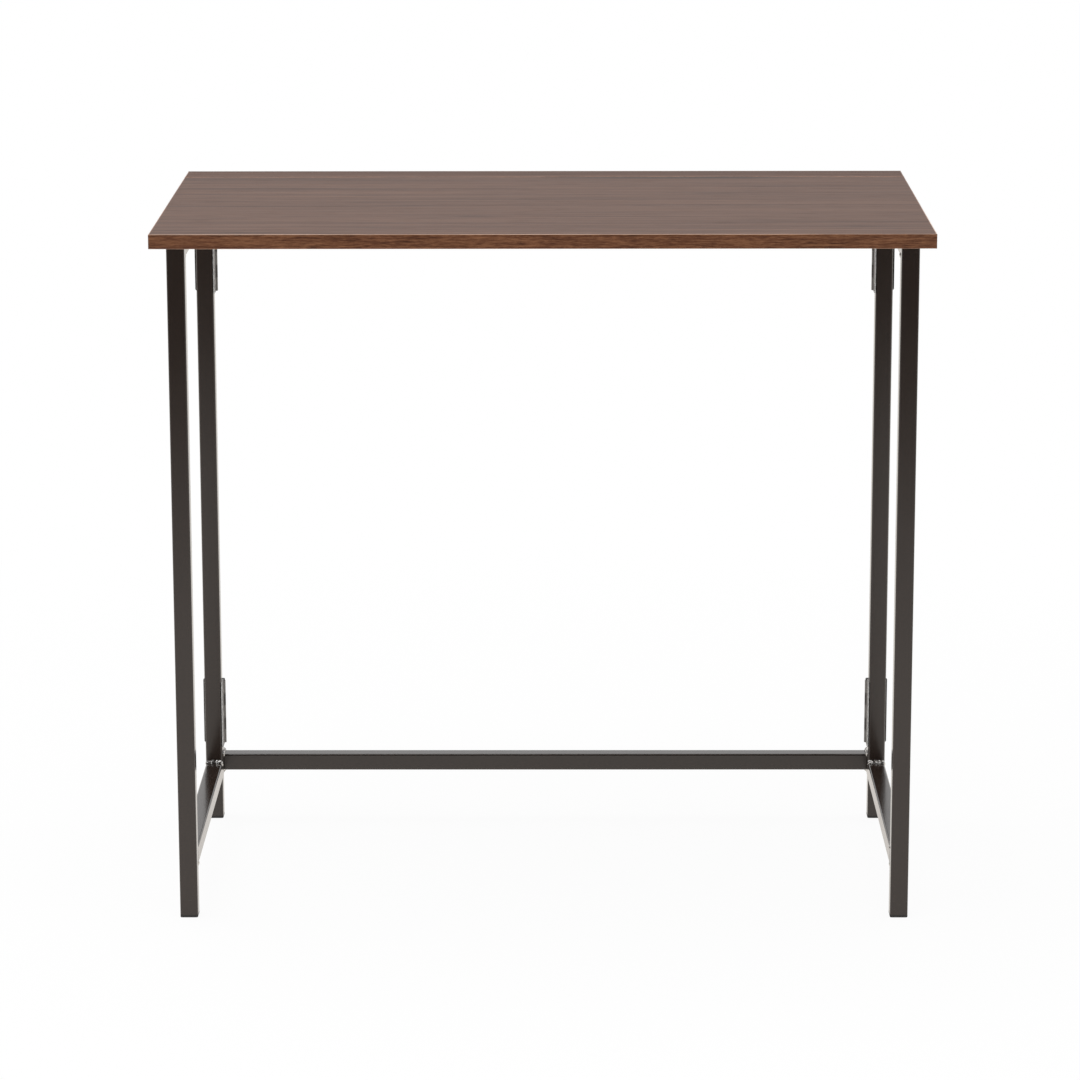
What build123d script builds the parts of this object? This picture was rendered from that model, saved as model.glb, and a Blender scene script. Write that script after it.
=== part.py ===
from build123d import *
import os

os.makedirs("parts", exist_ok=True)

# Whole table, mm: +Z up, front at -Y, origin on the floor under the middle
top_width = 800.0
top_depth = 470.0
table_height = 750.0
board_thickness = 15.0
band_thickness = 1.0
band_arris = 0.6
seam_gap = 1.5

# Square steel tube of the frames
tube = 19.0
tube_wall = 1.2
tube_corner = 2.0

# Where the frames stand under the top
end_overhang = 10.5
rear_overhang = 6.0
fold_gap = 2.0
hang_clearance = 2.5
lower_rail_low = 54.0
crossbar_low = 58.0

# Square foot plugs and round rest pads
foot_flange = 3.0
foot_arris = 1.0
stem_length = 14.0
stem_wall = 2.0
stem_clearance = 0.1
pad_radius = 8.0
pad_height = 2.8
pad_arris = 1.0
pad_stem_radius = 3.0
pad_stem_length = 5.0
pad_setback = 30.0
rest_gap = 0.2

# Gate hinges: steel butt hinges with the barrel on the plates' middle plane
hinge_height = 76.0
hinge_plate = 1.4
hinge_barrel = 2.6
hinge_pin = 1.2
hinge_overhang = 1.0
hinge_corner = 2.0
hinge_hole_pitch = 26.0
pin_head_radius = 1.9
pin_head_height = 2.4
pin_head_arris = 0.7
lower_hinge_gap = 19.0
upper_hinge_gap = 18.2
knuckle_count = 5
knuckle_gap = 0.2
move_gap = 0.3
run_clearance = 0.05

# Leaf hinges: small butt hinges let into the boards, their pins level with the underside
leaf_hinge_length = 50.0
leaf_hinge_plate = 1.2
leaf_hinge_barrel = 2.0
leaf_hinge_pin = 1.0
leaf_hinge_reach = 19.0
leaf_hinge_corner = 2.0
leaf_hinge_spot = 230.0
leaf_hole_pitch = 30.0
leaf_hole_reach = 11.5
recess_gap = 0.5

# Screws: radii and lengths, each in a hole with the same clearance
hinge_screw = 1.75
hinge_screw_head = 3.1
hinge_screw_length = 8.0
leaf_screw = 1.5
leaf_screw_head = 2.6
leaf_screw_length = 10.0
strip_screw = 2.0
strip_screw_head = 4.0
strip_screw_head_height = 2.6
strip_screw_bite = 10.0
strip_screw_access = 4.8
strip_screw_spots = [-330.0, -110.0, 110.0, 330.0]
screw_clearance = 0.05
drill_tip = 0.5

# Levels and planes that follow from the sizes above
underside = table_height - board_thickness
rear_edge = top_depth / 2
front_edge = -top_depth / 2
half_width = top_width / 2
half_tube = tube / 2
fixed_rear = rear_edge - rear_overhang
fixed_front = fixed_rear - tube
pin_y = fixed_front - hinge_plate / 2
gate_outer = half_width - end_overhang
gate_inner = gate_outer - tube
gate_middle = gate_outer - half_tube
pin_x = gate_inner - hinge_plate / 2
barrel_space = hinge_barrel + move_gap
fixed_inner = pin_x + barrel_space
fixed_outer = fixed_inner + tube
fixed_middle = fixed_inner + half_tube
post_rear = pin_y - barrel_space
post_front = post_rear - tube
leg_front = pin_y - (pin_x - fold_gap / 2)
leg_rear = leg_front + tube
seam_y = pin_y - hinge_plate / 2 - tube - hang_clearance
gate_top = underside - rest_gap - pad_height
lower_rail_top = lower_rail_low + tube
hinge_lows = {
    "lower": lower_rail_top + lower_hinge_gap,
    "upper": gate_top - tube - upper_hinge_gap - hinge_height,
}
hinge_reach = barrel_space + tube + hinge_overhang
hinge_hole_reach = barrel_space + half_tube
hinge_hole_levels = [hinge_height / 2 + step * hinge_hole_pitch for step in (-1, 0, 1)]
leaf_pin_z = underside
leaf_hole_levels = [leaf_hinge_length / 2 + step * leaf_hole_pitch / 2 for step in (-1, 1)]
pad_y = leg_front + pad_setback


def box(low, high):
    size = [b - a for a, b in zip(low, high)]
    middle = [(a + b) / 2 for a, b in zip(low, high)]
    return Pos(*middle) * Box(*size)


def rod(radius, low, high):
    return Pos(0, 0, (low + high) / 2) * Cylinder(radius, high - low)


def tube_piece(length):
    bore = tube - 2 * tube_wall
    outside = RectangleRounded(tube, tube, tube_corner)
    inside = RectangleRounded(bore, bore, tube_corner - tube_wall)
    return extrude(outside - inside, length)


def upright(x, y, low, high):
    return Pos(x, y, low) * tube_piece(high - low)


def rail_across(y, z, low, high):
    return Pos(low, y, z) * Rot(0, 90, 0) * tube_piece(high - low)


def rail_deep(x, z, low, high):
    return Pos(x, low, z) * Rot(-90, 0, 0) * tube_piece(high - low)


# Cut a tube on the mitre plane through a point; away is the side that is cut off
def mitre(shape, point, away):
    return split(shape, bisect_by=Plane(origin=point, z_dir=away), keep=Keep.BOTTOM)


def screw_hole(plane, radius, depth):
    return plane * rod(radius + screw_clearance, 0, depth)


# Rear frame: two mitred posts, a top rail and a crossbar
def rear_post():
    post = upright(fixed_middle, fixed_front + half_tube, foot_flange, underside)
    post = mitre(post, (fixed_outer, 0, underside), (-1, 0, 1))
    for low in hinge_lows.values():
        for plane in fixed_screw_planes(low):
            post -= screw_hole(plane, hinge_screw, hinge_screw_length)
    return post


def rear_top_rail():
    level = underside - half_tube
    rail = rail_across(fixed_front + half_tube, level, -fixed_outer, fixed_outer)
    rail = mitre(rail, (fixed_outer, 0, underside), (1, 0, -1))
    rail = mitre(rail, (-fixed_outer, 0, underside), (-1, 0, -1))
    for x in strip_screw_spots:
        low_wall = Plane((x, fixed_front + half_tube, underside - tube))
        high_wall = Plane((x, fixed_front + half_tube, level))
        rail -= low_wall * rod(strip_screw_access, -tube_wall, half_tube)
        rail -= screw_hole(high_wall, strip_screw, tube)
    return rail


def rear_crossbar():
    return rail_across(fixed_front + half_tube, crossbar_low + half_tube, -fixed_inner, fixed_inner)


# Gate: front leg, post, top rail and lower rail, mitred where the tubes turn
front_corner = (0, leg_front, gate_top)
rear_corner = (0, post_rear, gate_top)
heel_corner = (0, post_rear, lower_rail_low)


def front_leg():
    leg = upright(gate_middle, leg_front + half_tube, foot_flange, gate_top)
    return mitre(leg, front_corner, (0, 1, 1))


def gate_post():
    post = upright(gate_middle, post_front + half_tube, lower_rail_low, gate_top)
    post = mitre(post, rear_corner, (0, -1, 1))
    post = mitre(post, heel_corner, (0, -1, -1))
    for low in hinge_lows.values():
        for plane in moving_screw_planes(low):
            post -= screw_hole(plane, hinge_screw, hinge_screw_length)
    return post


def gate_top_rail():
    rail = rail_deep(gate_middle, gate_top - half_tube, leg_front, post_rear)
    rail = mitre(rail, front_corner, (0, -1, -1))
    rail = mitre(rail, rear_corner, (0, 1, -1))
    rail -= screw_hole(Plane((gate_middle, pad_y, gate_top - half_tube)), pad_stem_radius, tube)
    return rail


def gate_lower_rail():
    rail = rail_deep(gate_middle, lower_rail_low + half_tube, leg_rear, post_rear)
    return mitre(rail, heel_corner, (0, 1, 1))


# Foot plug: flange under the tube, hollow square stem up inside it
def foot_plug(x, y):
    flange = extrude(RectangleRounded(tube, tube, tube_corner), foot_flange)
    flange = fillet(flange.faces().sort_by(Axis.Z)[0].edges(), foot_arris)
    stem = tube - 2 * tube_wall - 2 * stem_clearance
    hollow = stem - 2 * stem_wall
    ring = RectangleRounded(stem, stem, tube_corner - tube_wall)
    ring -= Rectangle(hollow, hollow)
    return Pos(x, y, 0) * (flange + Pos(0, 0, foot_flange) * extrude(ring, stem_length))


# Rest pad: round bumper on the gate's top rail, its stem through the upper wall
def rest_pad():
    pad = rod(pad_radius, 0, pad_height)
    pad = fillet(pad.edges().sort_by(Axis.Z)[-1], pad_arris)
    return Pos(gate_middle, pad_y, gate_top) * (pad + rod(pad_stem_radius, -pad_stem_length, 0))


# One hinge leaf: pin along Z, plate out along +X, screw heads on its -Y face
def hinge_leaf(height, head, plate, shift, barrel, pin, reach, corner, holes, screw, screw_head, owned):
    sheet = Pos(reach / 2, shift) * Rectangle(reach, plate)
    knuckle = sheet + Circle(barrel) - Circle(pin + run_clearance)
    relief = sheet - Circle(barrel + move_gap)
    pitch = (height - head) / knuckle_count
    levels = [0.0]
    for index in range(1, knuckle_count):
        toward = -1 if index - 1 in owned else 1
        levels.append(index * pitch + toward * knuckle_gap / 2)
    levels.append(height - head)
    layers = [knuckle if index in owned else relief for index in range(knuckle_count)]
    if head:
        levels.append(height)
        layers.append(relief)
    slices = [Pos(0, 0, low) * extrude(layer, high - low) for layer, low, high in zip(layers, levels, levels[1:])]
    leaf = slices[0].fuse(*slices[1:])
    leaf = fillet(leaf.edges().filter_by(Axis.Y).group_by(Axis.X)[-1], corner)
    face = shift - plate / 2
    for x, z in holes:
        plane = Plane((x, face, z), z_dir=(0, 1, 0))
        leaf -= plane * countersunk(screw + screw_clearance, screw_head + screw_clearance, plate)
    return leaf


# Countersunk screw along +Z, its flat head at zero
def countersunk(radius, head, length):
    depth = head - radius
    cone = Pos(0, 0, depth / 2) * Cone(head, radius, depth)
    return cone + rod(radius, 0, length)


def gate_hinge_leaf(owned):
    holes = [(hinge_hole_reach, z) for z in hinge_hole_levels]
    return hinge_leaf(hinge_height, pin_head_height, hinge_plate, 0, hinge_barrel, hinge_pin,
                      hinge_reach, hinge_corner, holes, hinge_screw, hinge_screw_head, owned)


def fixed_hinge_leaf(low):
    return Pos(pin_x, pin_y, low) * gate_hinge_leaf((0, 2, 4))


def moving_hinge_leaf(low):
    return Pos(pin_x, pin_y, low) * Rot(0, 0, -90) * gate_hinge_leaf((1, 3))


def gate_hinge_pin(low):
    top = hinge_height - pin_head_height
    head = rod(pin_head_radius, top, hinge_height)
    head = fillet(head.edges().sort_by(Axis.Z)[-1], pin_head_arris)
    return Pos(pin_x, pin_y, low) * (head + rod(hinge_pin, 0, top))


# Screw places of the gate hinges, each plane at a head's face and pointing into the post
def fixed_screw_planes(low):
    face = pin_y - hinge_plate / 2
    return [Plane((pin_x + hinge_hole_reach, face, low + z), z_dir=(0, 1, 0)) for z in hinge_hole_levels]


def moving_screw_planes(low):
    face = pin_x - hinge_plate / 2
    return [Plane((face, pin_y - hinge_hole_reach, low + z), z_dir=(1, 0, 0)) for z in hinge_hole_levels]


def gate_hinge_screws(planes_at):
    screw = countersunk(hinge_screw, hinge_screw_head, hinge_screw_length)
    return [plane * screw for low in hinge_lows.values() for plane in planes_at(low)]


# Leaf hinges: the strip side runs to the rear, the leaf side to the front
def strip_side_plane(x):
    return Plane((x - leaf_hinge_length / 2, seam_y, leaf_pin_z), x_dir=(0, 1, 0), z_dir=(1, 0, 0))


def leaf_side_plane(x):
    return Plane((x + leaf_hinge_length / 2, seam_y, leaf_pin_z), x_dir=(0, -1, 0), z_dir=(-1, 0, 0))


def small_hinge_leaf(owned):
    shift = underside - leaf_pin_z + leaf_hinge_plate / 2
    holes = [(leaf_hole_reach, z) for z in leaf_hole_levels]
    return hinge_leaf(leaf_hinge_length, 0, leaf_hinge_plate, shift, leaf_hinge_barrel, leaf_hinge_pin,
                      leaf_hinge_reach, leaf_hinge_corner, holes, leaf_screw, leaf_screw_head, owned)


def leaf_hinge_pin_rod(x):
    return strip_side_plane(x) * rod(leaf_hinge_pin, 0, leaf_hinge_length)


def leaf_screw_planes(side):
    y = seam_y + side * leaf_hole_reach
    middles = (-leaf_hinge_spot, leaf_hinge_spot)
    steps = (-leaf_hole_pitch / 2, leaf_hole_pitch / 2)
    return [Plane((x + step, y, underside)) for x in middles for step in steps]


# Recesses under the seam: shallow ones for the plates, a deeper groove for each barrel
def hinge_recesses():
    half = leaf_hinge_length / 2 + recess_gap
    reach = leaf_hinge_reach + recess_gap
    groove = leaf_hinge_barrel + recess_gap
    cuts = []
    for x in (-leaf_hinge_spot, leaf_hinge_spot):
        plate_high = (x + half, seam_y + reach, underside + leaf_hinge_plate)
        cuts.append(box((x - half, seam_y - reach, underside - groove), plate_high))
        barrel_high = (x + half, seam_y + groove, underside + groove)
        cuts.append(box((x - half, seam_y - groove, underside - groove), barrel_high))
    return cuts


def leaf_hinge_screws(side):
    screw = countersunk(leaf_screw, leaf_screw_head, leaf_screw_length)
    return [plane * screw for plane in leaf_screw_planes(side)]


# Strip screws: pan heads inside the top rail, shanks up into the strip
def strip_screws():
    ledge = underside - tube_wall
    head = rod(strip_screw_head, ledge - strip_screw_head_height, ledge)
    screw = head + rod(strip_screw, ledge, underside + strip_screw_bite)
    return [Pos(x, fixed_front + half_tube, 0) * screw for x in strip_screw_spots]


# A board with edge bands on all four sides; the long bands cover the short ones' ends
def banded_board(front, rear):
    inner_front = front + band_thickness
    inner_rear = rear - band_thickness
    inner_side = half_width - band_thickness
    board = box((-inner_side, inner_front, underside), (inner_side, inner_rear, table_height))
    long_low = (-half_width, front, underside)
    front_band = box(long_low, (half_width, inner_front, table_height))
    rear_band = box((-half_width, inner_rear, underside), (half_width, rear, table_height))
    right_band = box((inner_side, inner_front, underside), (half_width, inner_rear, table_height))
    front_band = rounded_band(front_band, Axis.Y, 0)
    rear_band = rounded_band(rear_band, Axis.Y, -1)
    right_band = rounded_band(right_band, Axis.X, -1)
    left_band = mirror(right_band, about=Plane.YZ)
    for cut in hinge_recesses():
        board -= cut
        front_band -= cut
        rear_band -= cut
    return board, {"front": front_band, "rear": rear_band, "left": left_band, "right": right_band}


def rounded_band(band, axis, pick):
    outer = band.faces().sort_by(axis)[pick]
    level_edges = [edge for edge in outer.edges() if abs(edge.tangent_at(0).Z) < 0.5]
    return fillet(level_edges, band_arris)


parts = {}

# Fixed rear frame with the narrow strip of top on it
parts["rear_post_right"] = rear_post()
parts["rear_post_left"] = mirror(rear_post(), about=Plane.YZ)
parts["rear_top_rail"] = rear_top_rail()
parts["rear_crossbar"] = rear_crossbar()
parts["rear_foot_right"] = foot_plug(fixed_middle, fixed_front + half_tube)
parts["rear_foot_left"] = foot_plug(-fixed_middle, fixed_front + half_tube)

strip_board, strip_bands = banded_board(seam_y + seam_gap / 2, rear_edge)
for plane in leaf_screw_planes(1):
    strip_board -= screw_hole(plane, leaf_screw, leaf_screw_length + drill_tip)
for x in strip_screw_spots:
    spot = Plane((x, fixed_front + half_tube, underside))
    strip_board -= screw_hole(spot, strip_screw, strip_screw_bite + drill_tip)
parts["strip_board"] = strip_board
for side, band in strip_bands.items():
    parts["strip_band_" + side] = band
parts["strip_screws"] = Compound(children=strip_screws())

# Swinging leaf of the top
leaf_board, leaf_bands = banded_board(front_edge, seam_y - seam_gap / 2)
for plane in leaf_screw_planes(-1):
    leaf_board -= screw_hole(plane, leaf_screw, leaf_screw_length + drill_tip)
parts["leaf_board"] = leaf_board
for side, band in leaf_bands.items():
    parts["leaf_band_" + side] = band

# Leaf hinges
for side, x in (("left", -leaf_hinge_spot), ("right", leaf_hinge_spot)):
    parts["strip_hinge_leaf_" + side] = strip_side_plane(x) * small_hinge_leaf((0, 2, 4))
    parts["leaf_hinge_leaf_" + side] = leaf_side_plane(x) * small_hinge_leaf((1, 3))
    parts["leaf_hinge_pin_" + side] = leaf_hinge_pin_rod(x)
parts["strip_hinge_screws"] = Compound(children=leaf_hinge_screws(1))
parts["leaf_hinge_screws"] = Compound(children=leaf_hinge_screws(-1))

# Gates, modelled on the right and mirrored to the left
gate_parts = {
    "front_leg": front_leg(),
    "gate_post": gate_post(),
    "top_rail": gate_top_rail(),
    "lower_rail": gate_lower_rail(),
    "front_foot": foot_plug(gate_middle, leg_front + half_tube),
    "rest_pad": rest_pad(),
}
for level, low in hinge_lows.items():
    gate_parts["fixed_hinge_leaf_" + level] = fixed_hinge_leaf(low)
    gate_parts["moving_hinge_leaf_" + level] = moving_hinge_leaf(low)
    gate_parts["gate_hinge_pin_" + level] = gate_hinge_pin(low)
for name, shape in gate_parts.items():
    parts["right_" + name] = shape
    parts["left_" + name] = mirror(shape, about=Plane.YZ)

fixed_screws = gate_hinge_screws(fixed_screw_planes)
moving_screws = gate_hinge_screws(moving_screw_planes)
mirrored_fixed = [mirror(screw, about=Plane.YZ) for screw in fixed_screws]
mirrored_moving = [mirror(screw, about=Plane.YZ) for screw in moving_screws]
parts["fixed_hinge_screws"] = Compound(children=fixed_screws + mirrored_fixed)
parts["right_hinge_screws"] = Compound(children=moving_screws)
parts["left_hinge_screws"] = Compound(children=mirrored_moving)

for name, shape in parts.items():
    export_step(shape, "parts/" + name + ".step")
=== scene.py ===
import math
import random

import bpy
from mathutils import Matrix, Vector


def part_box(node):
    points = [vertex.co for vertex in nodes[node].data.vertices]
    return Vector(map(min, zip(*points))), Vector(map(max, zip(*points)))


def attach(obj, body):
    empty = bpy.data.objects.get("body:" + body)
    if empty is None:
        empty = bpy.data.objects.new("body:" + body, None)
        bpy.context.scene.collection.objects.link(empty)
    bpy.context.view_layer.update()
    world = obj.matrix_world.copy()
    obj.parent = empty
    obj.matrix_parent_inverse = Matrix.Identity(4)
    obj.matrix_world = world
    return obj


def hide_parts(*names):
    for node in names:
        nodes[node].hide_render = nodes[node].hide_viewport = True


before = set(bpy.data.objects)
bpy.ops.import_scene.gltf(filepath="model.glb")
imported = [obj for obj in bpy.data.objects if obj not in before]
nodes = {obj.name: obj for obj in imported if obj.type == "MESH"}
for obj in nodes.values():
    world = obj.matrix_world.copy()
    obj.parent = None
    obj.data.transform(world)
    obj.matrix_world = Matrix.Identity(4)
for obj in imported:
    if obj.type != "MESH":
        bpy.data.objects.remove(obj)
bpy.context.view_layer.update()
mm = 0.001


# A shader socket that takes part in plain sums
class Wire:
    def __init__(self, tree, socket=None):
        self.tree = tree
        self.socket = socket

    def node(self, kind, settings, values, output=0):
        made = self.tree.nodes.new(kind)
        for name, value in settings.items():
            setattr(made, name, value)
        for key, value in values.items():
            if isinstance(value, Wire):
                self.tree.links.new(value.socket, made.inputs[key])
            else:
                made.inputs[key].default_value = value
        return Wire(self.tree, made.outputs[output])

    def math(self, operation, first, second=0.0):
        return self.node("ShaderNodeMath", {"operation": operation}, {0: first, 1: second})

    def __add__(self, other):
        return self.math("ADD", self, other)

    __radd__ = __add__

    def __sub__(self, other):
        return self.math("SUBTRACT", self, other)

    def __rsub__(self, other):
        return self.math("SUBTRACT", other, self)

    def __mul__(self, other):
        return self.math("MULTIPLY", self, other)

    __rmul__ = __mul__

    def __truediv__(self, other):
        return self.math("DIVIDE", self, other)

    def __rtruediv__(self, other):
        return self.math("DIVIDE", other, self)

    def __pow__(self, other):
        return self.math("POWER", self, other)

    def __abs__(self):
        return self.math("ABSOLUTE", self)

    def smallest(self, other):
        return self.math("MINIMUM", self, other)

    def largest(self, other):
        return self.math("MAXIMUM", self, other)

    # 0 below low, 1 above high, smooth between
    def ramp(self, low, high):
        settings = {"interpolation_type": "SMOOTHSTEP"}
        values = {"Value": self, "From Min": low, "From Max": high}
        return self.node("ShaderNodeMapRange", settings, values)

    # colour from first to second as this wire goes from 0 to 1
    def tint(self, first, second):
        return self.node("ShaderNodeMix", {"data_type": "RGBA"}, {0: self, 6: first, 7: second}, 2)

    def axis(self, name):
        return self.node("ShaderNodeSeparateXYZ", {}, {0: self}, name)

    # this place with one of its coordinates moved
    def moved(self, axis, amount):
        shift = self.node("ShaderNodeCombineXYZ", {}, {axis: amount})
        return self.node("ShaderNodeVectorMath", {"operation": "ADD"}, {0: self, 1: shift})

    # place stretched and turned before a pattern reads it
    def mapped(self, scale, turn=0.0):
        values = {"Vector": self, "Scale": scale, "Rotation": (0.0, 0.0, turn)}
        return self.node("ShaderNodeMapping", {}, values)

    def noise(self, scale, detail=3.0, roughness=0.55):
        values = {"Vector": self, "Scale": scale, "Detail": detail, "Roughness": roughness}
        return self.node("ShaderNodeTexNoise", {}, values, "Fac")

    # noise drawn out along the grain: one scale for each axis
    def grain(self, scale, detail=3.0, roughness=0.55):
        return self.mapped(scale).noise(1.0, detail, roughness)

    def bump(self, strength, distance):
        values = {"Strength": strength, "Distance": distance, "Height": self}
        return self.node("ShaderNodeBump", {}, values, "Normal")


def colour(red, green, blue):
    return (red, green, blue, 1.0)


def newFinish(name):
    material = bpy.data.materials.new(name)
    material.use_nodes = True
    tree = material.node_tree
    shader = tree.nodes["Principled BSDF"]
    place = Wire(tree).node("ShaderNodeTexCoord", {}, {}, "Object")
    return material, shader, place


def feed(shader, values):
    for key, value in values.items():
        if isinstance(value, Wire):
            value.tree.links.new(value.socket, shader.inputs[key])
        else:
            shader.inputs[key].default_value = value


# Three printed wood tones: dark to middle to light as tone goes from 0 to 1
def woodTones(tone, wood):
    face = tone.smallest(1.0).largest(0.0)
    low = (face * 2.0).smallest(1.0).tint(wood["dark"], wood["middle"])
    return (face * 2.0 - 1.0).largest(0.0).tint(low, wood["light"])


# Wood-look laminate on the faces of the top, its grain along X
laminate = {
    "dark": colour(0.047, 0.0198, 0.0114),
    "middle": colour(0.101, 0.0476, 0.0294),
    "light": colour(0.155, 0.082, 0.054),
    "pore": colour(0.024, 0.011, 0.007),
    "contrast": 2.3,
    "level": 0.52,
    "gloss": 0.47,
    "texture": 0.05 * mm,
    "drift": 24 * mm,                   # how far the grain wanders sideways
    "seamShadeAt": (145 * mm, 180 * mm),   # painted shade of the open seam, a dark streak beside it
    "seamShadeLong": 170 * mm,
    "seamShadeWide": 7 * mm,
    "seamShadeDrift": 3 * mm,
    "leaf": {"shade": -0.015, "sheen": 0.175},
    "strip": {"shade": -0.04, "sheen": 0.115},
}


def laminateFinish(part):
    material, shader, place = newFinish(part + "_laminate")
    wander = place.grain((1.3, 5.0, 1.0), 2.0) - 0.5
    flow = place.moved("Y", wander * laminate["drift"])
    broad = flow.grain((0.8, 14.0, 1.0), 2.0)
    streak = flow.grain((1.5, 160.0, 1.0), 4.0, 0.65)
    lines = flow.grain((2.1, 300.0, 1.0), 3.0, 0.6)
    fibre = flow.grain((11.0, 620.0, 1.0), 3.0, 0.6)
    pores = flow.grain((24.0, 950.0, 1.0), 1.0).ramp(0.60, 0.70)
    dark = flow.grain((0.9, 105.0, 1.0), 2.0, 0.55).ramp(0.60, 0.70)
    dashes = flow.grain((8.0, 185.0, 1.0), 2.0, 0.5).ramp(0.58, 0.70)

    # painted shade of the open seam: a dark streak beside it, broken up by the grain that it lies in
    seamShadeX, seamShadeY = laminate["seamShadeAt"]
    long, wide = laminate["seamShadeLong"], laminate["seamShadeWide"]
    ends = abs(place.axis("X") - seamShadeX).ramp(0.1 * long, long)
    off = place.axis("Y") + wander * laminate["seamShadeDrift"] - seamShadeY
    sides = abs(off).ramp(0.25 * wide, wide)
    broken = 0.55 + (lines * 0.6 + fibre * 0.4).ramp(0.40, 0.58) * 0.45
    seamShade = (1.0 - ends) * (1.0 - sides) * broken

    pale = broad * 0.12 + streak * 0.52 + lines * 0.72 + fibre * 0.28
    # the painted seam shade deepens the tone here, and below it also pulls the colour towards the pore
    # colour
    deep = 0.80 + dark * 0.12 + dashes * 0.16 + seamShade * 0.50
    tone = pale - deep + laminate[part]["shade"]
    printed = woodTones(tone * laminate["contrast"] + laminate["level"], laminate)
    feed(shader, {
        "Base Color": (pores * 0.40).largest(seamShade * 0.95).tint(printed, laminate["pore"]),
        "Roughness": laminate["gloss"] + (fibre - 0.5) * 0.16 + pores * 0.08,
        "Normal": (fibre * 0.5 + lines * 0.3 - pores * 0.6).bump(0.35, laminate["texture"]),
        "Specular IOR Level": laminate[part]["sheen"],
    })
    return material


# Plastic edge band with a redder printed grain and a paler arris, a painted highlight that is patchy along
# its length
edgeBand = {
    "dark": colour(0.058, 0.020, 0.0085),
    "middle": colour(0.150, 0.056, 0.0250),
    "light": colour(0.270, 0.118, 0.055),
    # pale painted highlight colour for the arris
    "arrisHighlight": colour(0.560, 0.360, 0.260),
    "contrast": 2.9,
    "level": 0.57,
    "gloss": 0.42,
    "sheen": 0.24,
    "texture": 0.05 * mm,
    "drift": 3.5 * mm,
    "highlightedInFront": (-0.20, 0.10),   # painted arris highlight strongest in front of these depths
    "rearHighlightLoss": 0.80,          # share of the painted arris highlight that the rear misses
}


def bandFinish(name, turn):
    material, shader, place = newFinish(name)
    run = place.mapped((1.0, 1.0, 1.0), turn)
    cloud = run.grain((7.0, 1.0, 60.0))
    flow = run.moved("Z", (cloud - 0.5) * edgeBand["drift"])
    fleck = flow.grain((105.0, 1.0, 900.0), 4.0, 0.78)
    streak = flow.grain((18.0, 1.0, 560.0), 3.0, 0.6)
    fibre = flow.grain((60.0, 1.0, 1500.0), 2.0, 0.6)
    tone = fleck * 0.80 + streak * 0.56 + cloud * 0.22 + fibre * 0.24 - 0.91
    printed = woodTones(tone * edgeBand["contrast"] + edgeBand["level"], edgeBand)
    facing = place.node("ShaderNodeTexCoord", {}, {}, "Normal")
    arris = abs(facing.axis("Z")).ramp(0.20, 0.50)
    patchy = run.grain((5.0, 5.0, 5.0), 4.0).ramp(0.36, 0.60)
    highlightedInFront = 1.0 - place.axis("Y").ramp(*edgeBand["highlightedInFront"]) * edgeBand["rearHighlightLoss"]
    # painted highlight along the arris, patchy and weaker towards the rear
    arrisHighlight = arris * (0.35 + patchy * 0.65) * highlightedInFront
    feed(shader, {
        "Base Color": arrisHighlight.tint(printed, edgeBand["arrisHighlight"]),
        "Roughness": edgeBand["gloss"] + (fibre - 0.5) * 0.20 - arris * 0.10,
        "Normal": (fleck * 0.5 + fibre).bump(0.30, edgeBand["texture"]),
        "Specular IOR Level": edgeBand["sheen"],
    })
    return material


# Semi-gloss powder coat on the tubes: fine orange peel, dust, scuffs near the floor
frameCoat = {
    "coat": colour(0.0290, 0.0188, 0.0142),
    "dusty": colour(0.0380, 0.0282, 0.0230),
    "scuffed": colour(0.080, 0.068, 0.060),
    "gloss": 0.17,
    "peel": 0.009 * mm,
    "scuffHeights": (4 * mm, 50 * mm),
    "varnish": 0.25,
    "varnishGloss": 0.10,
}


def coatFinish():
    material, shader, place = newFinish("frame_coat")
    cloud = place.noise(9.0, 3.0)
    speck = place.noise(1700.0, 2.0, 0.7)
    peel = place.noise(620.0, 2.0, 0.5)
    dust = cloud.ramp(0.46, 0.72) * 0.28 + speck.ramp(0.60, 0.74) * 0.22
    clean = dust.tint(frameCoat["coat"], frameCoat["dusty"])
    low = 1.0 - place.axis("Z").ramp(*frameCoat["scuffHeights"])
    strokes = place.grain((170.0, 170.0, 900.0), 3.0, 0.6).ramp(0.60, 0.70)
    scuff = low * strokes * 0.35
    rough = frameCoat["gloss"] + (cloud - 0.5) * 0.10 + speck.ramp(0.55, 0.75) * 0.06
    feed(shader, {
        "Base Color": scuff.tint(clean, frameCoat["scuffed"]),
        "Roughness": rough + scuff * 0.25,
        "Normal": (peel + speck * 0.15).bump(0.40, frameCoat["peel"]),
        "Coat Weight": frameCoat["varnish"],
        "Coat Roughness": frameCoat["varnishGloss"],
    })
    return material


# Weld metal: the coat lies thin on the crowns and the bright bead shows through
weldCoat = {
    "coat": colour(0.0260, 0.0180, 0.0140),
    "bright": colour(0.660, 0.645, 0.620),
    "gloss": 0.13,
    "ripple": 0.06 * mm,
    "varnish": 0.4,
    "varnishGloss": 0.06,
}


def weldFinish():
    material, shader, place = newFinish("weld_coat")
    thin = place.noise(270.0, 2.0, 0.5).ramp(0.40, 0.56)
    ripple = place.noise(900.0, 2.0, 0.5)
    feed(shader, {
        "Base Color": thin.tint(weldCoat["coat"], weldCoat["bright"]),
        "Metallic": thin * 0.9,
        "Roughness": weldCoat["gloss"] + ripple * 0.10,
        "Normal": ripple.bump(0.35, weldCoat["ripple"]),
        "Coat Weight": weldCoat["varnish"],
        "Coat Roughness": weldCoat["varnishGloss"],
    })
    return material
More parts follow.
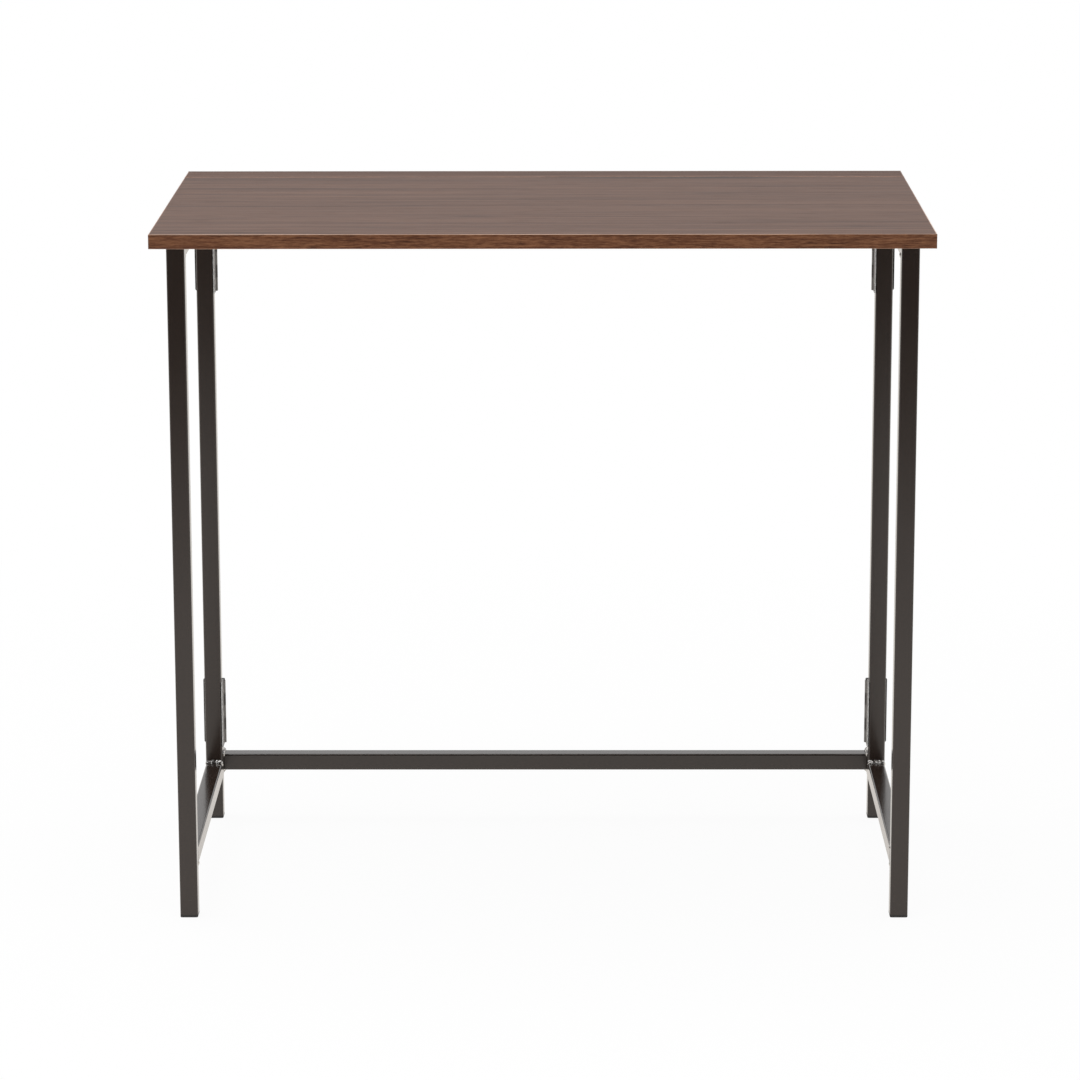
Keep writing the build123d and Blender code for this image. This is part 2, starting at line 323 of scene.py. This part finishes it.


# Coat on the hinges: rubbed to steel on the barrel, most where two knuckles meet; the moving leaves also
# get a painted highlight on their plate rims
hingeCoat = {
    "coat": colour(0.0250, 0.0182, 0.0146),
    "dusty": colour(0.0390, 0.0310, 0.0262),
    "steel": colour(0.430, 0.420, 0.405),
    # near-white painted highlight for the plate rims
    "edge": colour(0.760, 0.750, 0.730),
    "peel": 0.005 * mm,
    "fade": (0.3 * mm, 0.9 * mm),   # steel fades out this far off the barrel
    "knuckles": 5,
    "varnishGloss": 0.06,
    "fixed": {"worn": 0.42, "gloss": 0.12, "varnish": 0.35, "edges": 0.0},
    "moving": {"worn": 0.10, "gloss": 0.36, "varnish": 0.0, "edges": 0.9},
    "leaf": {"worn": 0.30, "gloss": 0.12, "varnish": 0.35, "edges": 0.0},
}


# barrel: its three axes, the middle and radius of its round and where its knuckles start
def rubbedCoat(name, kind, barrel):
    material, shader, place = newFinish(name)
    wear = hingeCoat[kind]
    along, across, level = barrel["axes"]
    cloud = place.noise(60.0, 3.0)
    peel = place.noise(800.0, 2.0, 0.5)
    patchy = place.noise(420.0, 3.0, 0.6).ramp(0.42, 0.62)
    clean = cloud.ramp(0.42, 0.72).tint(hingeCoat["coat"], hingeCoat["dusty"])
    run = place.axis(along) if along == "Z" else abs(place.axis(along))
    side = abs(place.axis(across)) - barrel["side"]
    rise = place.axis(level) - barrel["rise"]
    reach = (side * side + rise * rise) ** 0.5
    fadeStart, fadeEnd = hingeCoat["fade"]
    onBarrel = 1.0 - reach.ramp(barrel["radius"] + fadeStart, barrel["radius"] + fadeEnd)
    step = (run - barrel["start"]) / barrel["pitch"]
    within = step - step.math("FLOOR", step)
    ends = abs(within - 0.5).ramp(0.455, 0.492)
    rubbed = (ends * (0.15 + patchy * 0.65)).largest(wear["worn"] * (0.75 + patchy * 0.25))
    bare = onBarrel * rubbed
    facing = place.node("ShaderNodeTexCoord", {}, {}, "Normal")
    # painted highlight on the plate rims off the barrel, on the faces towards the front and at the ends
    rimHighlight = (0.0 - facing.axis(level)).largest(abs(facing.axis(along))).ramp(0.6, 0.9)
    rimHighlight = rimHighlight * (1.0 - onBarrel) * (0.7 + patchy * 0.3) * wear["edges"]
    feed(shader, {
        "Base Color": rimHighlight.tint(bare.tint(clean, hingeCoat["steel"]), hingeCoat["edge"]),
        "Metallic": bare,
        "Roughness": wear["gloss"] + (cloud - 0.5) * 0.06 + bare * 0.14 + rimHighlight * 0.12,
        "Normal": (peel + patchy * bare * 0.4).bump(0.35, hingeCoat["peel"]),
        "Coat Weight": wear["varnish"],
        "Coat Roughness": hingeCoat["varnishGloss"],
    })
    return material


# Blackened steel pins, rubbed bright in patches
pinSteel = {
    "blackened": colour(0.022, 0.018, 0.016),
    "bright": colour(0.420, 0.410, 0.400),
    "gloss": 0.33,
    "texture": 0.02 * mm,
}


def pinFinish():
    material, shader, place = newFinish("pin_steel")
    rubbed = place.noise(300.0, 3.0, 0.6).ramp(0.62, 0.76)
    feed(shader, {
        "Base Color": rubbed.tint(pinSteel["blackened"], pinSteel["bright"]),
        "Metallic": rubbed,
        "Roughness": pinSteel["gloss"] + rubbed * 0.08,
        "Normal": place.noise(1400.0, 2.0).bump(0.25, pinSteel["texture"]),
    })
    return material


# Zinc-plated screws with a faint yellow cast in patches
screwZinc = {
    "zinc": colour(0.500, 0.500, 0.485),
    "dull": colour(0.330, 0.315, 0.280),
    "gloss": 0.30,
    "turning": 0.015 * mm,
}


def screwFinish():
    material, shader, place = newFinish("screw_steel")
    patch = place.noise(380.0, 3.0, 0.6)
    turning = place.grain((2600.0, 300.0, 2600.0), 2.0)
    feed(shader, {
        "Base Color": patch.ramp(0.40, 0.66).tint(screwZinc["zinc"], screwZinc["dull"]),
        "Metallic": 1.0,
        "Roughness": screwZinc["gloss"] + (patch - 0.5) * 0.25,
        "Normal": turning.bump(0.25, screwZinc["turning"]),
    })
    return material


# Moulded foot plugs: fine spark-eroded grain, scuffed underneath
footPlastic = {
    "plain": colour(0.0180, 0.0165, 0.0155),
    "worn": colour(0.070, 0.066, 0.062),
    "gloss": 0.52,
    "texture": 0.04 * mm,
    "wornHeights": (0.5 * mm, 3.5 * mm),
}


def footFinish():
    material, shader, place = newFinish("foot_plastic")
    grain = place.noise(2200.0, 2.0, 0.6)
    scratch = place.grain((900.0, 900.0, 250.0), 3.0, 0.6).ramp(0.56, 0.68)
    low = 1.0 - place.axis("Z").ramp(*footPlastic["wornHeights"])
    worn = low * (0.25 + scratch * 0.6)
    feed(shader, {
        "Base Color": worn.tint(footPlastic["plain"], footPlastic["worn"]),
        "Roughness": footPlastic["gloss"] + (grain - 0.5) * 0.15 + worn * 0.2,
        "Normal": grain.bump(0.40, footPlastic["texture"]),
    })
    return material


# Black rubber of the rest pads, with a pale bloom
padRubber = {
    "rubber": colour(0.0130, 0.0130, 0.0135),
    "bloom": colour(0.050, 0.050, 0.052),
    "gloss": 0.72,
    "texture": 0.05 * mm,
}


def padFinish():
    material, shader, place = newFinish("pad_rubber")
    bloom = place.noise(240.0, 4.0, 0.6).ramp(0.48, 0.74)
    feed(shader, {
        "Base Color": (bloom * 0.6).tint(padRubber["rubber"], padRubber["bloom"]),
        "Roughness": padRubber["gloss"] + bloom * 0.10,
        "Normal": place.noise(1900.0, 2.0).bump(0.45, padRubber["texture"]),
    })
    return material


finishes = {
    "leaf": laminateFinish("leaf"),
    "strip": laminateFinish("strip"),
    "longBand": bandFinish("long_edge_band", 0.0),
    "shortBand": bandFinish("short_edge_band", math.pi / 2),
    "tube": coatFinish(),
    "weld": weldFinish(),
    "pin": pinFinish(),
    "screw": screwFinish(),
    "foot": footFinish(),
    "pad": padFinish(),
}

# The rubbed knuckles lie round the pins, one finish for each height
gateBarrel = {"radius": 2.6 * mm, "pinHead": 2.4 * mm}
leafBarrel = {"radius": 2.0 * mm}
for level in ("lower", "upper"):
    pinLow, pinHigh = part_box("right_gate_hinge_pin_" + level)
    middle = (pinLow + pinHigh) / 2
    barrel = {
        "axes": ("Z", "X", "Y"),
        "side": middle.x,
        "rise": middle.y,
        "radius": gateBarrel["radius"],
        "start": pinLow.z,
        "pitch": (pinHigh.z - pinLow.z - gateBarrel["pinHead"]) / hingeCoat["knuckles"],
    }
    for kind in ("fixed", "moving"):
        finishes[kind + "_" + level] = rubbedCoat(kind + "_hinge_coat_" + level, kind, barrel)
pinLow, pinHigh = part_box("leaf_hinge_pin_right")
middle = (pinLow + pinHigh) / 2
finishes["leafHinge"] = rubbedCoat("leaf_hinge_coat", "leaf", {
    "axes": ("X", "Y", "Z"),
    "side": middle.y,
    "rise": middle.z,
    "radius": leafBarrel["radius"],
    "start": pinLow.x,
    "pitch": (pinHigh.x - pinLow.x) / hingeCoat["knuckles"],
})


def dress(name, material):
    for slot in nodes[name].material_slots:
        slot.material = material


dress("leaf_board", finishes["leaf"])
dress("strip_board", finishes["strip"])
for part in ("leaf", "strip"):
    for side in ("front", "rear"):
        dress(part + "_band_" + side, finishes["longBand"])
    for side in ("left", "right"):
        dress(part + "_band_" + side, finishes["shortBand"])
for name in ("rear_post_left", "rear_post_right", "rear_top_rail", "rear_crossbar"):
    dress(name, finishes["tube"])
for side in ("left", "right"):
    for name in ("front_leg", "gate_post", "top_rail", "lower_rail"):
        dress(side + "_" + name, finishes["tube"])
    dress("rear_foot_" + side, finishes["foot"])
    dress(side + "_front_foot", finishes["foot"])
    dress(side + "_rest_pad", finishes["pad"])
    for level in ("lower", "upper"):
        dress(side + "_fixed_hinge_leaf_" + level, finishes["fixed_" + level])
        dress(side + "_moving_hinge_leaf_" + level, finishes["moving_" + level])
        dress(side + "_gate_hinge_pin_" + level, finishes["pin"])
    dress("strip_hinge_leaf_" + side, finishes["leafHinge"])
    dress("leaf_hinge_leaf_" + side, finishes["leafHinge"])
    dress("leaf_hinge_pin_" + side, finishes["pin"])
print("finishes on the CAD pieces:", len(finishes))


def deselect():
    if bpy.context.object and bpy.context.object.mode != "OBJECT":
        bpy.ops.object.mode_set(mode="OBJECT")
    bpy.ops.object.select_all(action="DESELECT")


def selectOnly(piece):
    deselect()
    piece.select_set(True)
    bpy.context.view_layer.objects.active = piece


def joinPieces(pieces):
    selectOnly(pieces[0])
    for piece in pieces:
        piece.select_set(True)
    bpy.ops.object.join()
    return bpy.context.object


def applyModifier(piece, name, kind, settings):
    modifier = piece.modifiers.new(name, kind)
    for key, value in settings.items():
        setattr(modifier, key, value)
    selectOnly(piece)
    bpy.ops.object.modifier_apply(modifier=name)


def settle(piece):
    selectOnly(piece)
    bpy.ops.object.transform_apply(location=True, rotation=True, scale=True)


mergeDistance = 0.002 * mm


# Merged, closed and shaded by its angles
def tidyMesh(piece, angle):
    selectOnly(piece)
    bpy.ops.object.mode_set(mode="EDIT")
    bpy.ops.mesh.select_all(action="SELECT")
    bpy.ops.mesh.remove_doubles(threshold=mergeDistance)
    bpy.ops.mesh.normals_make_consistent(inside=False)
    bpy.ops.object.mode_set(mode="OBJECT")
    bpy.ops.object.shade_smooth_by_angle(angle=math.radians(angle))


def copyTo(pattern, name, matrix):
    piece = pattern.copy()
    piece.data = pattern.data.copy()
    piece.name = name
    bpy.context.scene.collection.objects.link(piece)
    piece.data.transform(matrix)
    piece.matrix_world = Matrix.Identity(4)
    return piece


def finishPiece(piece, material, body):
    piece.data.materials.clear()
    piece.data.materials.append(material)
    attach(piece, body)


# Weld bead: overlapping lumps of run-out metal across one face of a tube
weldBead = {
    "length": 17.5 * mm,
    "lumps": 7,
    "wide": 3.7 * mm,
    "tall": 3.9 * mm,
    "seeds": {"weld_pattern_a": 3, "weld_pattern_b": 8},
    "lumpSides": 20,
    "lumpRings": 12,
    "fineness": 0.30 * mm,
    "softened": {"factor": 0.5, "iterations": 3},
    "shadeAngle": 60,
}


def weldPattern(name, seed):
    roll = random.Random(seed)
    lumps = []
    pitch = weldBead["length"] / weldBead["lumps"]
    for index in range(weldBead["lumps"]):
        deselect()
        along = (index + 0.5) * pitch - weldBead["length"] / 2 + roll.uniform(-0.2, 0.2) * pitch
        bpy.ops.mesh.primitive_uv_sphere_add(segments=weldBead["lumpSides"], radius=1.0,
                                             ring_count=weldBead["lumpRings"], location=(0, 0, 0))
        lump = bpy.context.object
        bpy.ops.object.mode_set(mode="EDIT")
        size = (pitch * roll.uniform(0.70, 1.05), weldBead["wide"] * roll.uniform(0.72, 1.10),
                weldBead["tall"] * roll.uniform(0.72, 1.10))
        bpy.ops.transform.resize(value=size)
        for axis, most in (("Z", 0.5), ("Y", 0.4)):
            turn = roll.uniform(-most, most)
            bpy.ops.transform.rotate(value=turn, orient_axis=axis, center_override=(0, 0, 0))
        aside = roll.uniform(-0.3, 0.7) * mm
        proud = roll.uniform(-0.3, 0.7) * mm
        bpy.ops.transform.translate(value=(along, aside, proud))
        bpy.ops.object.mode_set(mode="OBJECT")
        lumps.append(lump)
    bead = joinPieces(lumps)
    bead.name = name
    settle(bead)
    applyModifier(bead, "run", "REMESH", {"mode": "VOXEL", "voxel_size": weldBead["fineness"]})
    applyModifier(bead, "soften", "SMOOTH", weldBead["softened"])
    tidyMesh(bead, weldBead["shadeAngle"])
    return bead


weldPatterns = [weldPattern(name, seed) for name, seed in weldBead["seeds"].items()]
alongX = Vector((1, 0, 0))
alongY = Vector((0, 1, 0))
up = Vector((0, 0, 1))


# One bead at each spot: a corner of two tubes and its two open directions
def placeWelds(spots, run, body, count):
    for name, (corner, openA, openB) in spots.items():
        pattern = weldPatterns[count % len(weldPatterns)]
        turn = Matrix((run, openA, openB)).transposed().to_4x4()
        piece = copyTo(pattern, name, Matrix.Translation(corner) @ turn)
        tidyMesh(piece, weldBead["shadeAngle"])
        finishPiece(piece, finishes["weld"], body)
        count += 1
    return count


weldCount = 0
barLow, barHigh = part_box("rear_crossbar")
barDepth = (barLow.y + barHigh.y) / 2
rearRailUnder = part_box("rear_top_rail")[0].z
for side in ("left", "right"):
    postLow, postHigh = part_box(side + "_gate_post")
    railLow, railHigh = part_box(side + "_lower_rail")
    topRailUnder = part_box(side + "_top_rail")[0].z
    postFace = postLow.y
    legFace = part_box(side + "_front_leg")[1].y
    middle = (postLow.x + postHigh.x) / 2
    weld = side + "_weld_"
    weldCount = placeWelds({
        weld + "post_lower_rail": (Vector((middle, postFace, railHigh.z)), -alongY, up),
        weld + "leg_lower_rail_upper": (Vector((middle, legFace, railHigh.z)), alongY, up),
        weld + "leg_lower_rail_under": (Vector((middle, legFace, railLow.z)), alongY, -up),
        weld + "leg_top_rail": (Vector((middle, legFace, topRailUnder)), alongY, -up),
        weld + "post_top_rail": (Vector((middle, postFace, topRailUnder)), -alongY, -up),
    }, alongX, side + "_gate", weldCount)
    fixedLow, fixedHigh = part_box("rear_post_" + side)
    inward = alongX if side == "left" else -alongX
    face = fixedHigh.x if side == "left" else fixedLow.x
    weldCount = placeWelds({
        "rear_weld_crossbar_upper_" + side: (Vector((face, barDepth, barHigh.z)), inward, up),
        "rear_weld_crossbar_under_" + side: (Vector((face, barDepth, barLow.z)), inward, -up),
        "rear_weld_top_rail_" + side: (Vector((face, barDepth, rearRailUnder)), inward, -up),
    }, alongY, "rear_frame", weldCount)
for pattern in weldPatterns:
    bpy.data.objects.remove(pattern)
print("weld beads:", weldCount)


# Screws with a cross recess in the head; the head's face at zero, the shank along +Z
hingeScrew = {
    "head": 3.1 * mm,
    "shank": 1.75 * mm,
    "length": 8.0 * mm,
    "recess": 1.9 * mm,
    "slit": 0.42 * mm,
    "deep": 1.0 * mm,
}
leafScrew = {
    "head": 2.6 * mm,
    "shank": 1.5 * mm,
    "length": 10.0 * mm,
    "recess": 1.6 * mm,
    "slit": 0.36 * mm,
    "deep": 0.85 * mm,
}
panScrew = {
    "head": 4.0 * mm,
    "tall": 2.6 * mm,
    "shank": 2.0 * mm,
    "length": 13.8 * mm,
    "recess": 2.3 * mm,
    "slit": 0.55 * mm,
    "deep": 1.5 * mm,
}
screwShape = {
    "sides": 32,
    "point": 1.6 * mm,            # length of the tapered end
    "pointNarrow": 0.25,
    "panRound": {"width": 1.1 * mm, "segments": 4, "angle_limit": math.radians(70)},
    "recessTaper": (0.55, 0.7),   # the recess narrows to its floor
    "shadeAngle": 35,
}


# Level faces of a piece in edit mode, between two heights
def selectLevel(piece, low, high):
    bpy.ops.mesh.select_all(action="DESELECT")
    bpy.ops.object.mode_set(mode="OBJECT")
    for face in piece.data.polygons:
        face.select = low < face.center.z < high and abs(face.normal.z) > 0.9
    bpy.ops.object.mode_set(mode="EDIT")


def extrudeUp(height):
    bpy.ops.mesh.extrude_region_move(TRANSFORM_OT_translate={"value": (0, 0, height)})


# Tapered bar that cuts one slit of the cross
def recessArm(screw, turn):
    deselect()
    bpy.ops.mesh.primitive_cube_add(size=2.0, location=(0, 0, 0))
    arm = bpy.context.object
    bpy.ops.object.mode_set(mode="EDIT")
    bpy.ops.transform.resize(value=(screw["recess"], screw["slit"], screw["deep"]))
    selectLevel(arm, screw["deep"] * 0.5, screw["deep"] * 1.5)
    bpy.ops.transform.resize(value=(*screwShape["recessTaper"], 1.0))
    bpy.ops.mesh.select_all(action="SELECT")
    bpy.ops.transform.rotate(value=turn, orient_axis="Z", center_override=(0, 0, 0))
    bpy.ops.object.mode_set(mode="OBJECT")
    return arm


def screwPattern(name, screw):
    deselect()
    pan = "tall" in screw
    drop = screw["tall"] if pan else screw["head"] - screw["shank"]
    bpy.ops.mesh.primitive_cylinder_add(vertices=screwShape["sides"], radius=screw["head"],
                                        depth=drop, location=(0, 0, drop / 2))
    piece = bpy.context.object
    piece.name = name
    settle(piece)
    bpy.ops.object.mode_set(mode="EDIT")
    bpy.ops.mesh.select_mode(type="FACE")
    selectLevel(piece, drop * 0.9, drop * 1.1)
    if pan:
        bpy.ops.mesh.inset(thickness=screw["head"] - screw["shank"])
    else:
        narrow = screw["shank"] / screw["head"]
        bpy.ops.transform.resize(value=(narrow, narrow, 1.0))
    extrudeUp(screw["length"] - drop - screwShape["point"])
    extrudeUp(screwShape["point"])
    bpy.ops.transform.resize(value=(screwShape["pointNarrow"], screwShape["pointNarrow"], 1.0))
    bpy.ops.object.mode_set(mode="OBJECT")
    if pan:
        applyModifier(piece, "round", "BEVEL", screwShape["panRound"])
    arms = [recessArm(screw, turn) for turn in (0.0, math.pi / 2)]
    for arm in arms:
        cut = {"operation": "DIFFERENCE", "solver": "EXACT", "object": arm}
        applyModifier(piece, "recess", "BOOLEAN", cut)
    for arm in arms:
        bpy.data.objects.remove(arm)
    tidyMesh(piece, screwShape["shadeAngle"])
    return piece


screwApart = 16 * mm   # points of one screw lie closer together than this


# The lowest and highest corner of each screw of a CAD group
def screwSpans(node):
    groups = []
    for vertex in nodes[node].data.vertices:
        near = [group for group in groups if (group[0] - vertex.co).length < screwApart]
        if near:
            near[0].append(vertex.co.copy())
        else:
            groups.append([vertex.co.copy()])
    spans = []
    for points in groups:
        low = Vector([min(point[i] for point in points) for i in range(3)])
        high = Vector([max(point[i] for point in points) for i in range(3)])
        spans.append((low, high))
    return spans


# axis: the way in which the shanks point
def placeScrews(node, screw, axis, body):
    pattern = screwPattern(node + "_pattern", screw)
    roll = random.Random(len(node))
    way = [i for i in range(3) if abs(axis[i]) > 0.5][0]
    turn = up.rotation_difference(axis).to_matrix().to_4x4()
    copies = []
    for index, (low, high) in enumerate(screwSpans(node)):
        spot = (low + high) / 2
        spot[way] = low[way] if axis[way] > 0 else high[way]
        spin = Matrix.Rotation(roll.uniform(0, math.pi / 2), 4, "Z")
        matrix = Matrix.Translation(spot) @ turn @ spin
        copies.append(copyTo(pattern, node + "_piece_" + str(index), matrix))
    bpy.data.objects.remove(pattern)
    piece = joinPieces(copies)
    piece.name = node + "_recessed"
    tidyMesh(piece, screwShape["shadeAngle"])
    finishPiece(piece, finishes["screw"], body)
    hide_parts(node)
    return len(copies)


placed = placeScrews("fixed_hinge_screws", hingeScrew, alongY, "rear_frame")
placed += placeScrews("right_hinge_screws", hingeScrew, alongX, "right_gate")
placed += placeScrews("left_hinge_screws", hingeScrew, -alongX, "left_gate")
placed += placeScrews("strip_hinge_screws", leafScrew, up, "rear_frame")
placed += placeScrews("leaf_hinge_screws", leafScrew, up, "leaf")
placed += placeScrews("strip_screws", panScrew, up, "rear_frame")
print("recessed screws:", placed)


# White floor that keeps a soft shadow of the table
studioFloor = {
    "size": (14.0, 20.0),
    "middle": (0.0, 6.8, -0.2 * mm),
    "white": colour(1.0, 1.0, 1.0),
    "warm": colour(1.0, 0.95, 0.89),   # its glow in the coat's reflections
    "paper": colour(0.90, 0.90, 0.90),
    "dim": colour(0.06, 0.06, 0.06),   # unlit floor in those reflections
    "lit": (-3.8, -0.2, 0.87),         # it brightens between these depths, to this share
    "litBehind": (0.0, 0.5, 0.13),     # and the rest of the way behind the table
    "clear": (0.8, 1.7),               # shadows fade out between these distances
    "shadow": 0.06,
}


def floorFinish():
    material = bpy.data.materials.new("studio_floor")
    material.use_nodes = True
    tree = material.node_tree
    tree.nodes.clear()
    start = Wire(tree)
    seen = start.node("ShaderNodeLightPath", {}, {}, "Is Camera Ray")
    mirrored = start.node("ShaderNodeLightPath", {}, {}, "Is Glossy Ray")
    place = start.node("ShaderNodeTexCoord", {}, {}, "Object")
    away = place.node("ShaderNodeVectorMath", {"operation": "LENGTH"}, {0: place}, "Value")
    warm = mirrored.tint(studioFloor["white"], studioFloor["warm"])
    glow = start.node("ShaderNodeEmission", {}, {"Color": warm, "Strength": 1.0})
    near, far, share = studioFloor["lit"]
    nearBehind, farBehind, shareBehind = studioFloor["litBehind"]
    depth = place.axis("Y")
    lit = depth.ramp(near, far) * share + depth.ramp(nearBehind, farBehind) * shareBehind
    pale = (mirrored * (1.0 - lit)).tint(studioFloor["paper"], studioFloor["dim"])
    paper = start.node("ShaderNodeBsdfDiffuse", {}, {"Color": pale})
    clear = away.ramp(*studioFloor["clear"]) * studioFloor["shadow"]
    shown = (seen * (1.0 - studioFloor["shadow"] + clear)).largest(mirrored * lit)
    mixed = start.node("ShaderNodeMixShader", {}, {0: shown, 1: paper, 2: glow})
    output = tree.nodes.new("ShaderNodeOutputMaterial")
    tree.links.new(mixed.socket, output.inputs["Surface"])
    return material


deselect()
bpy.ops.mesh.primitive_plane_add(size=1.0, location=(0, 0, 0))
floor = bpy.context.object
floor.name = "studio_floor"
bpy.ops.object.mode_set(mode="EDIT")
bpy.ops.transform.resize(value=(*studioFloor["size"], 1.0))
bpy.ops.transform.translate(value=studioFloor["middle"])
bpy.ops.object.mode_set(mode="OBJECT")
floor.data.materials.append(floorFinish())

# Sky: white to the camera, soft light from behind and above
studioSky = {
    "behind": (-0.75, 0.15),
    "above": (-0.30, 0.05),
    "bright": 0.74,
    "least": 0.06,
}
scene = bpy.context.scene
scene.view_settings.view_transform = "Standard"
world = bpy.data.worlds.new("studio")
scene.world = world
world.use_nodes = True
sky = Wire(world.node_tree)
direction = sky.node("ShaderNodeTexCoord", {}, {}, "Generated")
behind = direction.axis("Y").ramp(*studioSky["behind"])
above = direction.axis("Z").ramp(*studioSky["above"])
soft = behind * above * studioSky["bright"] + studioSky["least"]
seen = sky.node("ShaderNodeLightPath", {}, {}, "Is Camera Ray")
strength = soft + seen * (1.0 - soft)
background = world.node_tree.nodes["Background"]
background.inputs["Color"].default_value = colour(1.0, 1.0, 1.0)
world.node_tree.links.new(strength.socket, background.inputs["Strength"])

# Large soft lamps: place, aim, size in metres and power in watts
softBoxes = {
    "overhead_box": {"spot": (-0.4, -0.3, 3.0), "aim": (0.0, 0.0, 0.0), "size": (3.2, 2.6), "power": 62.0},
    "left_box": {"spot": (-1.9, -2.9, 1.15), "aim": (0.0, 0.0, 0.35), "size": (1.3, 1.1), "power": 13.0},
    "right_box": {"spot": (1.7, -3.0, 1.00), "aim": (0.0, 0.0, 0.35), "size": (1.2, 1.0), "power": 11.0},
}
for name, box in softBoxes.items():
    lamp = bpy.data.lights.new(name, "AREA")
    lamp.shape = "RECTANGLE"
    lamp.size, lamp.size_y = box["size"]
    lamp.energy = box["power"]
    holder = bpy.data.objects.new(name, lamp)
    scene.collection.objects.link(holder)
    holder.location = box["spot"]
    aim = Vector(box["aim"]) - Vector(box["spot"])
    holder.rotation_euler = aim.to_track_quat("-Z", "Y").to_euler()

# Camera at the photograph's viewing angle: metres and radians, lens in millimetres
lens = {
    "length": 138.66,
    "sensor": 36.0,
    "spot": (0.021267, -4.412636, 1.388465),
    "pitch": 0.225,
    "yaw": 0.0058,
    "roll": -0.0017,
}
view = bpy.data.cameras.new("photo_view")
view.sensor_width = lens["sensor"]
view.lens = lens["length"]
camera = bpy.data.objects.new("photo_view", view)
scene.collection.objects.link(camera)
turnYaw = Matrix.Rotation(lens["yaw"], 4, "Z")
turnPitch = Matrix.Rotation(math.pi / 2 - lens["pitch"], 4, "X")
turnRoll = Matrix.Rotation(lens["roll"], 4, "Z")
camera.matrix_world = Matrix.Translation(lens["spot"]) @ turnYaw @ turnPitch @ turnRoll
scene.camera = camera
print("stage, light and camera set")
